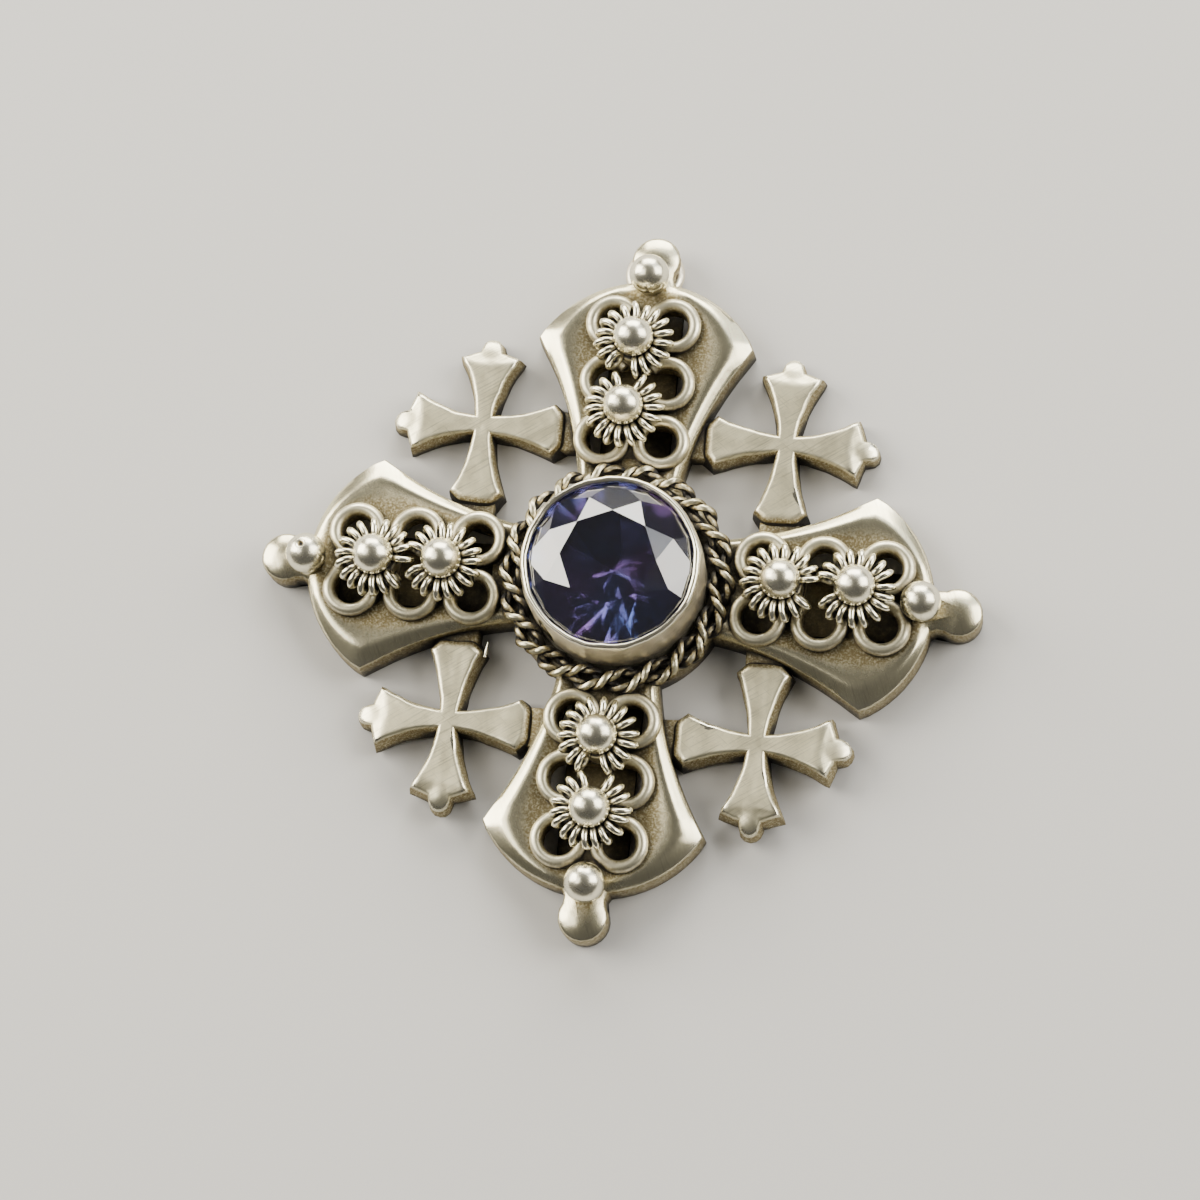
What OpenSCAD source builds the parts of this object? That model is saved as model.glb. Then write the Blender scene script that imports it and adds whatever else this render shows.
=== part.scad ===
// Jerusalem cross pendant: a hollow silver cross with wirework, a raised round stone and a bail ring.
// Millimetres. The pendant lies on its back: the back is z = 0, the face looks up, the top arm is +Y.

/* [Main cross] */
// Distance from the centre to the round tip of each main arm
reach = 21.5; // [20.5:0.1:22.5]
// Height of the main cross from its back edge to its face
cross_t = 2.4; // [2.3:0.1:2.8]
// Thickness of the walls and the face of the hollow main cross
wall_t = 0.8; // [0.7:0.05:0.9]
// Half width of a main arm beside the centre boss
root_w = 3.1; // [3:0.05:3.2]
// Half width of a main arm at its flared corners
corner_w = 6.56; // [6.4:0.02:6.8]
// Distance of the flared corners from the centre
corner_s = 14.8; // [14.6:0.1:15]
// How far each hollow side curves in from a straight line
side_sag = 0.5; // [0.4:0.05:0.6]
// Radius of the curved end of a main arm
end_r = 7.5; // [7.4:0.05:7.7]
// Radius of the round lobe at the tip of a main arm
lobe_r = 1.45; // [1.35:0.05:1.55]
// Width of the raised border that runs round the face of an arm
border_w = 0.9; // [0.8:0.05:1.1]
// Depth of the face inside that border
border_h = 0.2; // [0.1:0.05:0.3]
// Radius of the disc that joins the four arms under the stone
hub_r = 6.6; // [6.4:0.1:6.8]
// Width of the strip that closes the back of each arm behind the wirework
strip_w = 4.2; // [4:0.1:4.6]
// Thickness of that strip
strip_t = 0.45; // [0.4:0.05:0.6]

/* [Corner crosses] */
// Distance of a corner cross from the pendant's centre, along X and along Y
small_c = 9.15; // [9.1:0.05:9.3]
// Thickness of the corner crosses
small_t = 1.75; // [1.5:0.05:2]
// Half width of a corner cross's arm at its middle
small_waist = 0.48; // [0.45:0.01:0.6]
// Half width of an outer arm at its corners
small_w = 1.94; // [1.85:0.01:2.05]
// Distance of those corners from the middle of the corner cross
small_s = 4.3; // [4.2:0.05:4.4]
// How far each side of an arm curves in from a straight line
small_sag = 0.2; // [0.15:0.01:0.24]
// Height of the gable on the end of an outer arm
gable_h = 0.7; // [0.6:0.05:0.8]
// Radius of the bead on that gable
knob_r = 0.62; // [0.55:0.01:0.7]
// Half width of an inner arm at its clipped corners
inner_w = 1.45; // [1.4:0.01:1.5]
// Distance of the clipped corners from the middle of the corner cross
inner_s = 4.1; // [4:0.05:4.2]
// Distance of an inner arm's narrow end from the middle of the corner cross
inner_end = 4.95; // [4.9:0.01:5]
// Half width of that narrow end and of the tab that joins it to the main arm
tab_w = 0.75; // [0.7:0.05:0.9]
// Height of the tab
tab_t = 1.0; // [0.8:0.05:1.2]

/* [Wirework] */
// Distance of the middle pair of wire loops from the centre
loop_s = 12.1; // [12:0.05:12.2]
// Spacing of the three pairs of loops along an arm
loop_pitch = 3.62; // [3.6:0.01:3.65]
// Distance of each row of loops from the arm's middle line
loop_row = 1.75; // [1.7:0.01:1.8]
// Outer radius of a loop
loop_r = 1.73; // [1.7:0.01:1.76]
// Width of the loop's wire
loop_wire = 0.68; // [0.6:0.01:0.7]
// Height of the loop's wire above the face
loop_h = 0.8; // [0.6:0.05:1]
// Half width of the gap where the loops open towards the arm's middle line
loop_gap = 0.75; // [0.6:0.05:0.9]
// Distances of the inner and the outer rosette from the centre
rosette_s = [10.0, 14.2];
// Number of wire turns round a rosette
rosette_turns = 17; // [15:1:18]
// Outer radius of a rosette
rosette_r = 2.2; // [2.05:0.05:2.25]
// Height of the middle of the rosette's turns above the back
rosette_z = 4.1; // [4:0.05:4.2]
// Radius of one turn of the rosette's coil
coil_r = 0.55; // [0.5:0.01:0.6]
// Radius of the round post that carries a rosette
post_r = 1.25; // [1.1:0.05:1.3]
// Radius of the polished balls
ball_r = 1.1; // [1.05:0.01:1.12]
// Height of the middle of a rosette's ball above the back
ball_z = 4.9; // [4.8:0.05:5]
// Distance of the ball at an arm's tip from the centre
tip_s = 18.4; // [18.3:0.05:18.5]
// Height of the middle of the tip ball above the back
tip_z = 3.6; // [3.5:0.05:3.8]

/* [Centre boss] */
// Diameter of the round faceted stone
stone_d = 10; // [9.8:0.1:10]
// Clearance round the stone in its cup
stone_gap = 0.04; // [0.03:0.01:0.08]
// Thickness of the cup's wall
cup_wall = 0.3; // [0.25:0.01:0.35]
// Height of the cup's rim above the back
rim_z = 6.55; // [6.5:0.05:6.7]
// How far the rim is pressed in over the stone
rim_lip = 0.22; // [0.18:0.01:0.26]
// Outer radius of the twisted wire border
rope_r = 6.9; // [6.8:0.05:7]
// Height of the border above the face
rope_h = 0.85; // [0.7:0.05:1]
// Number of eyelets in the border
rope_eyes = 18; // [16:1:20]

/* [Stone] */
// Diameter of the table over the diameter of the stone
table_ratio = 0.56; // [0.53:0.01:0.6]
// Height of the crown over the diameter of the stone
crown_ratio = 0.15; // [0.13:0.01:0.16]
// Depth of the pavilion over the diameter of the stone
pavilion_ratio = 0.43; // [0.4:0.01:0.44]
// Thickness of the girdle
girdle_t = 0.2; // [0.15:0.01:0.25]

/* [Bail] */
// Outer diameter of the loose ring behind the top lobe
ring_d = 3.6; // [3.5:0.05:3.7]
// Diameter of its wire
ring_wire = 0.7; // [0.6:0.02:0.72]
// Length of the flat worn band inside the ring, where a chain runs
ring_band = 0.3; // [0.2:0.02:0.34]
// Distance of the ring's middle from the pendant's centre
ring_s = 19.57; // [19.5:0.01:19.6]
// How far the ring lies to the right of the middle line
ring_x = 0.15; // [0:0.01:0.2]
// Diameter of the wire of the eye that holds the ring
eye_wire = 0.42; // [0.4:0.01:0.44]
// Clear radius inside the eye
eye_r = 0.5; // [0.48:0.01:0.52]

/* [Hidden] */
$fn = 48;
overlap = 0.15;
beyond = 30;
face_z = cross_t - border_h;
pocket_top = cross_t - border_h - wall_t;
window_r = loop_r - loop_wire;
loop_places = [for (k = [-1 : 1]) loop_s + k * loop_pitch];
lobe_s = reach - lobe_r;
end_s = corner_s - sqrt(end_r * end_r - corner_w * corner_w);
arm_end = end_s + end_r;
root_s = 6.5;
cup_r = stone_d / 2 + stone_gap;
cup_outer = cup_r + cup_wall;
girdle_z = rim_z - 0.6;
seat_z = girdle_z - 0.75;
seat_r = 4.35;
light_r = 3.0;
rope_in = cup_outer + 0.1;
notch_top = cross_t - 1.05;
ring_mean = ring_d / 2 - ring_wire / 2;
ring_near_z = eye_wire + 0.06 + ring_wire / 2 + 0.04;
ring_far_z = ring_wire / 2 + 0.02;
ring_tilt = asin((ring_near_z - ring_far_z) / (2 * ring_mean));
ring_mid_z = (ring_near_z + ring_far_z) / 2;
eye_s = ring_s - ring_mean * cos(ring_tilt);
eye_z = eye_wire + 0.04 + eye_r;
silver = "#c9c3b4";
violet = "#2d2350";

// Middle and radius of the circle through two points that stands sag off the straight line between them
function bow_r(a, b, sag) = (norm(b - a) ^ 2 / 4 + sag ^ 2) / (2 * sag);
function bow_c(a, b, sag) =
    let (u = (b - a) / norm(b - a), r = bow_r(a, b, sag))
    (a + b) / 2 + [u.y, -u.x] * (r - sag);

// A blade cut off at length top, with two hollow sides that flare from half width w0 at s0 to w1 at s1
module blade(w0, s0, w1, s1, sag, top, inset = 0) {
    a = [w0, s0];
    b = [w1, s1];
    c = bow_c(a, b, sag);
    difference() {
        translate([-1.5 * w1, 0])
            square([3 * w1, top]);
        for (side = [-1, 1])
            translate([side * c.x, c.y])
                circle(r = bow_r(a, b, sag) + inset, $fn = 180);
    }
}

// Outline of one main arm up to its curved end, drawn inset inwards
module arm_outline(inset = 0) {
    intersection() {
        blade(root_w, root_s, corner_w, corner_s, side_sag, arm_end, inset);
        union() {
            translate([0, end_s])
                circle(r = end_r - inset, $fn = 120);
            translate([-corner_w, 0])
                square([2 * corner_w, end_s]);
        }
    }
}

// The tongue with a round end at the tip of a main arm
module lobe_outline() {
    translate([0, lobe_s])
        circle(r = lobe_r);
    translate([-lobe_r, arm_end - 1])
        square([2 * lobe_r, lobe_s - arm_end + 1]);
}

// Stadium-shaped windows through the face inside each pair of loops
module window_outline() {
    for (s = loop_places) {
        for (side = [-1, 1])
            translate([side * loop_row, s])
                circle(r = window_r - 0.02);
        translate([-loop_row, s - window_r * 0.7])
            square([2 * loop_row, window_r * 1.4]);
    }
}

// One hollow arm with its raised border, windows, end lobe and back strip
module main_arm() {
    difference() {
        union() {
            linear_extrude(cross_t)
                arm_outline();
            linear_extrude(cross_t)
                lobe_outline();
        }
        translate([0, 0, face_z])
            linear_extrude(cross_t)
                difference() {
                    arm_outline(border_w);
                    circle(r = hub_r - 0.3);
                }
        translate([0, 0, -1])
            linear_extrude(pocket_top + 1)
                intersection() {
                    arm_outline(wall_t);
                    translate([-corner_w, root_s])
                        square([2 * corner_w, reach]);
                }
        linear_extrude(cross_t + 1)
            window_outline();
    }
    linear_extrude(strip_t)
        translate([-strip_w / 2, root_s - 1])
            square([strip_w, arm_end - wall_t / 2 - root_s + 1]);
}

// Outline of one outer arm of a corner cross, with its gable and bead
module outer_blade() {
    blade(small_waist, 0.9, small_w, small_s, small_sag, small_s);
    polygon([[-small_w, small_s - 0.01], [small_w, small_s - 0.01], [0, small_s + gable_h + 0.2]]);
    translate([0, small_s + gable_h])
        circle(r = knob_r, $fn = 32);
}

// Outline of one inner arm of a corner cross, with clipped corners
module inner_blade() {
    blade(small_waist, 0.9, inner_w, inner_s, small_sag * 0.8, inner_s);
    polygon([
        [-inner_w, inner_s - 0.01],
        [inner_w, inner_s - 0.01],
        [tab_w, inner_end],
        [-tab_w, inner_end]
    ]);
}

// One corner cross and the two tabs that solder it to the main arms
module corner_cross() {
    translate([small_c, small_c, 0]) {
        linear_extrude(small_t) {
            outer_blade();
            rotate(-90)
                outer_blade();
            rotate(90)
                inner_blade();
            rotate(180)
                inner_blade();
        }
        for (turn = [90, 180])
            rotate(turn)
                translate([-tab_w, inner_end - 0.8, 0])
                    cube([2 * tab_w, 1.5, tab_t]);
    }
}

// Ring of one wire loop, standing on z = 0, with its upper edges eased
module loop_ring() {
    ease = 0.2;
    rotate_extrude($fn = 48)
        polygon([
            [loop_r - loop_wire, -overlap],
            [loop_r, -overlap],
            [loop_r, loop_h - ease],
            [loop_r - ease, loop_h],
            [loop_r - loop_wire + ease, loop_h],
            [loop_r - loop_wire, loop_h - ease]
        ]);
}

// The three pairs of C-shaped wire loops on one arm
module wire_loops() {
    for (s = loop_places, side = [0, 1])
        mirror([side, 0, 0])
            difference() {
                translate([loop_row, s, face_z])
                    loop_ring();
                translate([loop_gap - 3, s - 3, 0])
                    cube([3, 6, beyond]);
            }
}

// Outline of a rosette: wire turns set side by side round a circle
module rosette_outline() {
    pitch = 360 / rosette_turns;
    polygon([
        for (k = [0 : rosette_turns - 1], p = [[-0.5, 0.62], [-0.3, 1.1], [0.3, 1.1]])
            rosette_r * p[1] * [cos((k + p[0]) * pitch), sin((k + p[0]) * pitch)]
    ]);
}

// One rosette: a ring of wire turns round a polished ball, on a short post
module rosette() {
    low = rosette_z - coil_r;
    top = rosette_z + coil_r;
    ease = coil_r * 0.6;
    intersection() {
        rotate_extrude($fn = 48)
            polygon([
                [0, low],
                [rosette_r - ease, low],
                [rosette_r, low + ease],
                [rosette_r, top - ease],
                [rosette_r - ease, top],
                [0, top]
            ]);
        translate([0, 0, low - 1])
            linear_extrude(2 * coil_r + 2)
                rosette_outline();
    }
    translate([0, 0, face_z - overlap])
        cylinder(h = low - face_z + 2 * overlap, r = post_r);
    translate([0, 0, ball_z])
        sphere(r = ball_r);
}

// The polished ball at an arm's tip, on a low collar
module tip_ball() {
    translate([0, 0, cross_t - overlap])
        cylinder(h = tip_z - cross_t - ball_r / 2, r = 0.75);
    translate([0, 0, tip_z])
        sphere(r = ball_r);
}

// Everything soldered onto one arm
module arm_wirework() {
    wire_loops();
    for (s = rosette_s)
        translate([0, s, 0])
            rosette();
    translate([0, tip_s, 0])
        tip_ball();
}

// Disc under the stone, with the hole that lets light in behind it
module hub_disc() {
    difference() {
        cylinder(h = cross_t, r = hub_r, $fn = 96);
        translate([0, 0, -1])
            cylinder(h = cross_t + 2, r = light_r);
        translate([0, 0, -1])
            cylinder(h = pocket_top + 1, r = hub_r - wall_t, $fn = 96);
    }
}

// The plain cup that holds the stone, with a seat below the girdle and a rim pressed in over it
module stone_cup() {
    rotate_extrude($fn = 96)
        polygon([
            [seat_r, cross_t - overlap],
            [cup_outer, cross_t - overlap],
            [cup_outer, rim_z - 0.35],
            [cup_outer - 0.13, rim_z - 0.08],
            [cup_outer - 0.3, rim_z],
            [cup_r - rim_lip, rim_z - 0.06],
            [cup_r - rim_lip, rim_z - 0.18],
            [cup_r, rim_z - 0.32],
            [cup_r, seat_z],
            [seat_r, seat_z]
        ]);
}

// The braided wire border, drawn as a band with an eyelet and an outer dip for each crossing
module rope_border() {
    step = 360 / rope_eyes;
    mid = (rope_in + rope_r) / 2;
    eye_hole_r = 0.3;
    difference() {
        rotate_extrude($fn = 96)
            polygon([
                [rope_in - 0.3, cross_t - overlap],
                [rope_r, cross_t - overlap],
                [rope_r, cross_t + rope_h * 0.55],
                [rope_r - 0.3, cross_t + rope_h],
                [rope_in + 0.25, cross_t + rope_h],
                [rope_in - 0.3, cross_t + rope_h * 0.6]
            ]);
        for (k = [0 : rope_eyes - 1])
            rotate(k * step) {
                translate([mid + 0.05, 0, cross_t + 0.1])
                    cylinder(h = rope_h + 1, r = eye_hole_r, $fn = 16);
                rotate(step / 2)
                    translate([rope_r + 0.2, 0, cross_t - 1])
                        cylinder(h = rope_h + 2, r = 2 * eye_hole_r, $fn = 16);
            }
    }
}

// The small eye under the top lobe that the bail ring hangs in
module bail_eye() {
    intersection() {
        translate([ring_x, eye_s, eye_z])
            rotate([0, 90, 0])
                rotate_extrude($fn = 32)
                    translate([eye_r + eye_wire / 2, 0])
                        circle(d = eye_wire, $fn = 24);
        translate([ring_x - 2, eye_s - 2, -1])
            cube([4, 4, 1 + notch_top + overlap]);
    }
}

// Room for the bail ring behind the top lobe and through the end wall of the top arm
module bail_notch() {
    translate([ring_x - ring_d / 2 - 0.3, arm_end - wall_t - 0.6, -1])
        cube([ring_d + 0.6, beyond, 1 + notch_top]);
}

// All the silver that is cast and soldered together
module silver_cross() {
    color(silver) {
        difference() {
            for (turn = [0 : 90 : 270])
                rotate(turn)
                    main_arm();
            cylinder(h = 3 * cross_t, r = hub_r - 0.4, center = true, $fn = 96);
            bail_notch();
        }
        hub_disc();
        for (turn = [0 : 90 : 270])
            rotate(turn) {
                corner_cross();
                arm_wirework();
            }
        stone_cup();
        rope_border();
        bail_eye();
    }
}

// Round brilliant: table, eight stars, eight kites, sixteen upper facets, and the same count below
module stone() {
    r = stone_d / 2;
    table_r = r * table_ratio;
    crown_h = stone_d * crown_ratio;
    depth = stone_d * pavilion_ratio;
    star_r = (r + table_r) / 2;
    lower_r = r * 0.22;
    star_h = crown_h * (r - star_r * cos(22.5)) / (r - table_r);
    lower_h = depth * (1 - lower_r * cos(22.5) / r);
    ring8 = [0 : 7];
    points = concat(
        [for (k = ring8) [table_r * cos(45 * k), table_r * sin(45 * k), crown_h]],
        [for (k = ring8) [star_r * cos(45 * k + 22.5), star_r * sin(45 * k + 22.5), star_h]],
        [for (k = [0 : 15]) [r * cos(22.5 * k), r * sin(22.5 * k), 0]],
        [for (k = [0 : 15]) [r * cos(22.5 * k), r * sin(22.5 * k), -girdle_t]],
        [for (k = ring8) [lower_r * cos(45 * k + 22.5), lower_r * sin(45 * k + 22.5), -girdle_t - lower_h]],
        [[0, 0, -girdle_t - depth]]
    );
    star = 8;
    top = 16;
    low = 32;
    lower = 48;
    culet = 56;
    faces = concat(
        [[7, 6, 5, 4, 3, 2, 1, 0]],
        [for (k = ring8) [k, (k + 1) % 8, star + k]],
        [for (k = ring8) [k, star + k, top + 2 * k, star + (k + 7) % 8]],
        [for (k = ring8) [star + k, top + 2 * k + 1, top + 2 * k]],
        [for (k = ring8) [star + k, top + (2 * k + 2) % 16, top + 2 * k + 1]],
        [for (k = [0 : 15]) [top + k, top + (k + 1) % 16, low + (k + 1) % 16, low + k]],
        [for (k = ring8) [lower + k, low + 2 * k, low + 2 * k + 1]],
        [for (k = ring8) [lower + k, low + 2 * k + 1, low + (2 * k + 2) % 16]],
        [for (k = ring8) [culet, lower + (k + 7) % 8, low + 2 * k, lower + k]]
    );
    color(violet)
        translate([0, 0, girdle_z + girdle_t])
            polyhedron(points, faces);
}

// Loose ring that lies behind the top lobe, with a flat band worn inside it
module bail_ring() {
    flat = ring_wire / 2 - sqrt(ring_wire ^ 2 / 4 - ring_band ^ 2 / 4);
    color(silver)
        translate([ring_x, ring_s, ring_mid_z])
            rotate([-ring_tilt, 0, 0])
                rotate_extrude($fn = 64)
                    difference() {
                        translate([ring_mean, 0])
                            circle(d = ring_wire, $fn = 32);
                        translate([ring_mean - ring_wire, -ring_wire])
                            square([ring_wire / 2 + flat, 2 * ring_wire]);
                    }
}

silver_cross();
stone();
bail_ring();
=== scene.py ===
# %% [markdown]
# # A jerusalem cross pendant in worn silver
#
# The real pendant is cast and soldered silver: a hollow cross of four flared arms, a small cross in
# each corner, wirework on the arms, and a round violet stone raised in a plain cup. It lies on its back.
#
# The engineering model gives every piece its place. This script first reads that model, and then
# builds each piece again with the detail that a jeweller's hand and years of wear leave behind.

# %% Load the frame
import math
from collections import Counter
from contextlib import contextmanager
import random
import bpy
from mathutils import Matrix, Vector, kdtree, noise


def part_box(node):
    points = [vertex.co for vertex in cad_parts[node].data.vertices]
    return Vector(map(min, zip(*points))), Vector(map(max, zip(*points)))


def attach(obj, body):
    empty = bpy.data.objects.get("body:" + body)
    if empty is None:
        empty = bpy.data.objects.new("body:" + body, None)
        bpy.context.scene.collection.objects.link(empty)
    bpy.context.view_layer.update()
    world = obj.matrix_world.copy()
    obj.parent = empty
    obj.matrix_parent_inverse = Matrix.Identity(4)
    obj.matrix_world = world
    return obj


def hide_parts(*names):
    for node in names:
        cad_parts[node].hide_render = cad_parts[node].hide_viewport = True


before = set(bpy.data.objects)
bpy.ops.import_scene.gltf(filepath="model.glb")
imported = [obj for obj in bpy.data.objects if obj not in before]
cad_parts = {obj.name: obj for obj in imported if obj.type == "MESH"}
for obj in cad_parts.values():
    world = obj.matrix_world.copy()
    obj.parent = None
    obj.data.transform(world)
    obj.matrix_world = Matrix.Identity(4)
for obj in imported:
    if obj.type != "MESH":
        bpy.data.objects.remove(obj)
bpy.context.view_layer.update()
print("nodes in the frame:", sorted(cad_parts))

# %% [markdown]
# ## Working in millimetres
#
# A jeweller thinks in tenths of a millimetre. Blender's tools round and merge best on shapes a few
# units across, so every piece is modelled with 1 unit as 1 mm. When it is finished it is scaled down
# to metres, and the scale, turn and place are applied, so that it sits in the frame as a CAD node does.

# %% Sizes taken from the frame
MM = 0.001
_, cross_high = (Vector(corner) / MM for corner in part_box("silver_cross"))
stone_low, stone_high = (Vector(corner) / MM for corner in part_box("stone"))
reach = cross_high.x
rim_z = cross_high.z
stone_r = (stone_high.x - stone_low.x) / 2
print(f"tip to tip {2 * reach:.1f} mm, rim at {rim_z:.2f} mm, stone {2 * stone_r:.1f} mm across")

# %% Select one object, and nothing else
def alone(piece):
    """Leaves edit mode, and makes one object the only selected one and the active one."""
    if bpy.context.object and bpy.context.object.mode != "OBJECT":
        bpy.ops.object.mode_set(mode="OBJECT")
    bpy.ops.object.select_all(action="DESELECT")
    piece.select_set(True)
    bpy.context.view_layer.objects.active = piece


def new_piece(name):
    """Names the object that was just made, and returns it."""
    piece = bpy.context.object
    piece.name = name
    piece.data.name = name
    return piece


def added(name, primitive, **settings):
    """Adds a primitive, bakes its place into its mesh and names it."""
    bpy.ops.object.select_all(action="DESELECT")
    primitive(**settings)
    bpy.ops.object.transform_apply(location=True, rotation=True, scale=True)
    return new_piece(name)


def copy_of(piece, name):
    """A copy with a mesh of its own."""
    alone(piece)
    bpy.ops.object.duplicate()
    return new_piece(name)


def rotation(degrees, axis):
    """A turn about one axis."""
    return Matrix.Rotation(math.radians(degrees), 4, axis)


def settle(piece, matrix):
    """Gives a piece a place, turn and scale, and bakes them into its mesh."""
    alone(piece)
    piece.matrix_world = matrix
    bpy.ops.object.transform_apply(location=True, rotation=True, scale=True)


def place(piece, at=(0, 0, 0), turn=0.0):
    """Turns a piece about Z, in degrees, and moves it."""
    settle(piece, Matrix.Translation(at) @ rotation(turn, "Z"))


def on_arm(piece, quarter, at, off=(0, 0, 0)):
    """Moves a piece to its place on the top arm, turns it to its own arm, and then shifts it."""
    place(piece, at=at)
    place(piece, turn=-90 * quarter)
    place(piece, at=off)


def joined(pieces, name):
    """Joins several objects into one."""
    alone(pieces[0])
    for piece in pieces[1:]:
        piece.select_set(True)
    if len(pieces) > 1:
        bpy.ops.object.join()
    return new_piece(name)


# %% Work in edit mode
@contextmanager
def editing(piece, select="SELECT"):
    """Edit mode for one piece, with all of it selected, none of it, or with its selection kept."""
    alone(piece)
    bpy.ops.object.mode_set(mode="EDIT")
    if select:
        bpy.ops.mesh.select_all(action=select)
    yield
    bpy.ops.object.mode_set(mode="OBJECT")


def pick_faces(piece, wanted):
    """Selects the faces that pass a test, and no others."""
    with editing(piece, "DESELECT"):
        bpy.ops.mesh.select_mode(type="FACE")
    for face in piece.data.polygons:
        face.select = wanted(face)


def move_points(piece, points):
    """Moves the vertices to points, in their order."""
    for vertex, point in zip(piece.data.vertices, points):
        vertex.co = point


def turn_outwards(piece):
    """Turns all the faces outwards."""
    with editing(piece):
        bpy.ops.mesh.normals_make_consistent(inside=False)


def add_modifier(piece, kind, **settings):
    """Adds a modifier, sets it and applies it."""
    alone(piece)
    bpy.ops.object.modifier_add(type=kind)
    modifier = piece.modifiers[-1]
    for key, value in settings.items():
        setattr(modifier, key, value)
    bpy.ops.object.modifier_apply(modifier=modifier.name)


# %% Finish a piece
finished = []


def finish_piece(piece, material, smooth=40):
    """Turns the faces outwards, scales to metres, smooths soft edges and hangs the piece on the frame."""
    turn_outwards(piece)
    settle(piece, Matrix.Diagonal((MM, MM, MM, 1)))
    bpy.ops.object.shade_smooth_by_angle(angle=math.radians(smooth))
    piece.data.materials.clear()
    piece.data.materials.append(material)
    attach(piece, "root")
    finished.append(piece)
    print(f"{piece.name}: {len(piece.data.polygons)} faces")
    return piece


# %% [markdown]
# ## The camera
#
# The photograph looks down on the pendant from a little below and to the right of the face's normal.
# The place was found from the picture itself, by matching the corners of the cross and the heights of
# the balls and of the rim. The lens is long, as for a product photograph, so the arms hardly converge.

# %% Camera
camera_place = Vector((25.99, -49.17, 200.69)) * MM
camera_up = Vector((-0.0742, 0.9671, 0.2435))
camera_look = Vector((-0.1306, 0.2326, -0.9638))
bpy.ops.object.select_all(action="DESELECT")
bpy.ops.object.camera_add()
camera = bpy.context.object
camera.name = "photo_camera"
right = camera_look.cross(camera_up).normalized()
up = right.cross(camera_look).normalized()
turn = Matrix((right, up, -camera_look.normalized())).transposed().to_4x4()
camera.matrix_world = Matrix.Translation(camera_place) @ turn
camera.data.sensor_width = 36
camera.data.lens = 105
camera.data.clip_start = 0.01
bpy.context.scene.camera = camera
print("camera is", round(camera_place.length / MM), "mm from the pendant")

# %% [markdown]
# ## Procedural silver
#
# Old silver shows its age by place: it turns black where nothing rubs it, tan where a cloth only
# brushes past, and stays bright on the edges and the round tops. Two shader groups find those places.
# One darkens what is closed in, by asking how much open sky a point sees, and what lies below a given height. The
# other finds sharp edges.
# A third group gives the fine scratches. All three are used by every silver, with their own values.

# %% Node helpers
def feed(tree, value, target, socket):
    """Links a node, or a (node, output) pair, to an input. Any other value is set there."""
    if isinstance(value, bpy.types.Node):
        value = (value, 0)
    if isinstance(value, tuple) and isinstance(value[0], bpy.types.Node):
        tree.links.new(value[0].outputs[value[1]], target.inputs[socket])
    else:
        target.inputs[socket].default_value = value


def add_node(tree, kind, **values):
    """Adds a node, and feeds its inputs and sets its properties by name."""
    made = tree.nodes.new(kind)
    for key, value in values.items():
        if key in made.inputs:
            feed(tree, value, made, key)
        else:
            setattr(made, key, value)
    return made


def new_group(name, inputs, outputs):
    """An empty shader group with named float inputs and outputs."""
    group = bpy.data.node_groups.new(name, "ShaderNodeTree")
    for label, value in inputs.items():
        socket = group.interface.new_socket(label, in_out="INPUT", socket_type="NodeSocketFloat")
        socket.default_value = value
    for label in outputs:
        group.interface.new_socket(label, in_out="OUTPUT", socket_type="NodeSocketFloat")
    return group, add_node(group, "NodeGroupInput"), add_node(group, "NodeGroupOutput")


def math_node(tree, operation, *values, clamp=False):
    """A Math node. Each value is a number, a node or a (node, output) pair."""
    made = add_node(tree, "ShaderNodeMath", operation=operation, use_clamp=clamp)
    for index, value in enumerate(values):
        feed(tree, value, made, index)
    return made


def weighted_sum(tree, total, *terms):
    """A first value plus (source, weight) terms, held between 0 and 1."""
    for source, weight in terms:
        total = math_node(tree, "ADD", total, math_node(tree, "MULTIPLY", source, weight))
    total.use_clamp = True
    return total


def ramp(tree, source, low, high):
    """A value mapped so that low becomes 0 and high becomes 1, and held there."""
    ends = {"From Min": low, "From Max": high}
    return add_node(tree, "ShaderNodeMapRange", interpolation_type="SMOOTHSTEP", Value=source, **ends)


def mixed(tree, factor, first, second):
    """A mix of two colours, as a (node, output) pair."""
    return add_node(tree, "ShaderNodeMix", data_type="RGBA", Factor=factor, A=first, B=second), "Result"


# %% Group: places that no cloth reaches, and the lower part of a piece
closed_in, start, end = new_group("closed_in", {
    "Reach": 0.0012, "Patchiness": 0.5, "Low Z": 0.0, "High Z": 0.001, "Low Amount": 0.0, "Patch Scale": 1400.0,
}, ["Mask"])
spot = (add_node(closed_in, "ShaderNodeTexCoord"), "Object")
sky = add_node(closed_in, "ShaderNodeAmbientOcclusion", samples=12, Distance=(start, "Reach"))
hidden = math_node(closed_in, "SUBTRACT", 1.0, (sky, "AO"))
patch = add_node(closed_in, "ShaderNodeTexNoise", Vector=spot, Scale=(start, "Patch Scale"), Detail=4.0,
                 Roughness=0.7)
spread = math_node(closed_in, "SUBTRACT", (patch, "Fac"), 0.5)
height = add_node(closed_in, "ShaderNodeSeparateXYZ", Vector=spot)
# darker below a given height, towards the foot of each piece
low = ramp(closed_in, (height, "Z"), (start, "Low Z"), (start, "High Z"))
low = math_node(closed_in, "SUBTRACT", 1.0, low)
soiled = weighted_sum(closed_in, hidden, (spread, (start, "Patchiness")), (low, (start, "Low Amount")))
feed(closed_in, soiled, end, "Mask")

# %% Group: edges rubbed bright
rubbed, start, end = new_group("rubbed_edges", {"Amount": 1.0}, ["Mask"])
shape = add_node(rubbed, "ShaderNodeNewGeometry")
sharp = ramp(rubbed, (shape, "Pointiness"), 0.5, 0.56)
sharp = math_node(rubbed, "MULTIPLY", sharp, (start, "Amount"), clamp=True)
feed(rubbed, sharp, end, "Mask")

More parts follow.
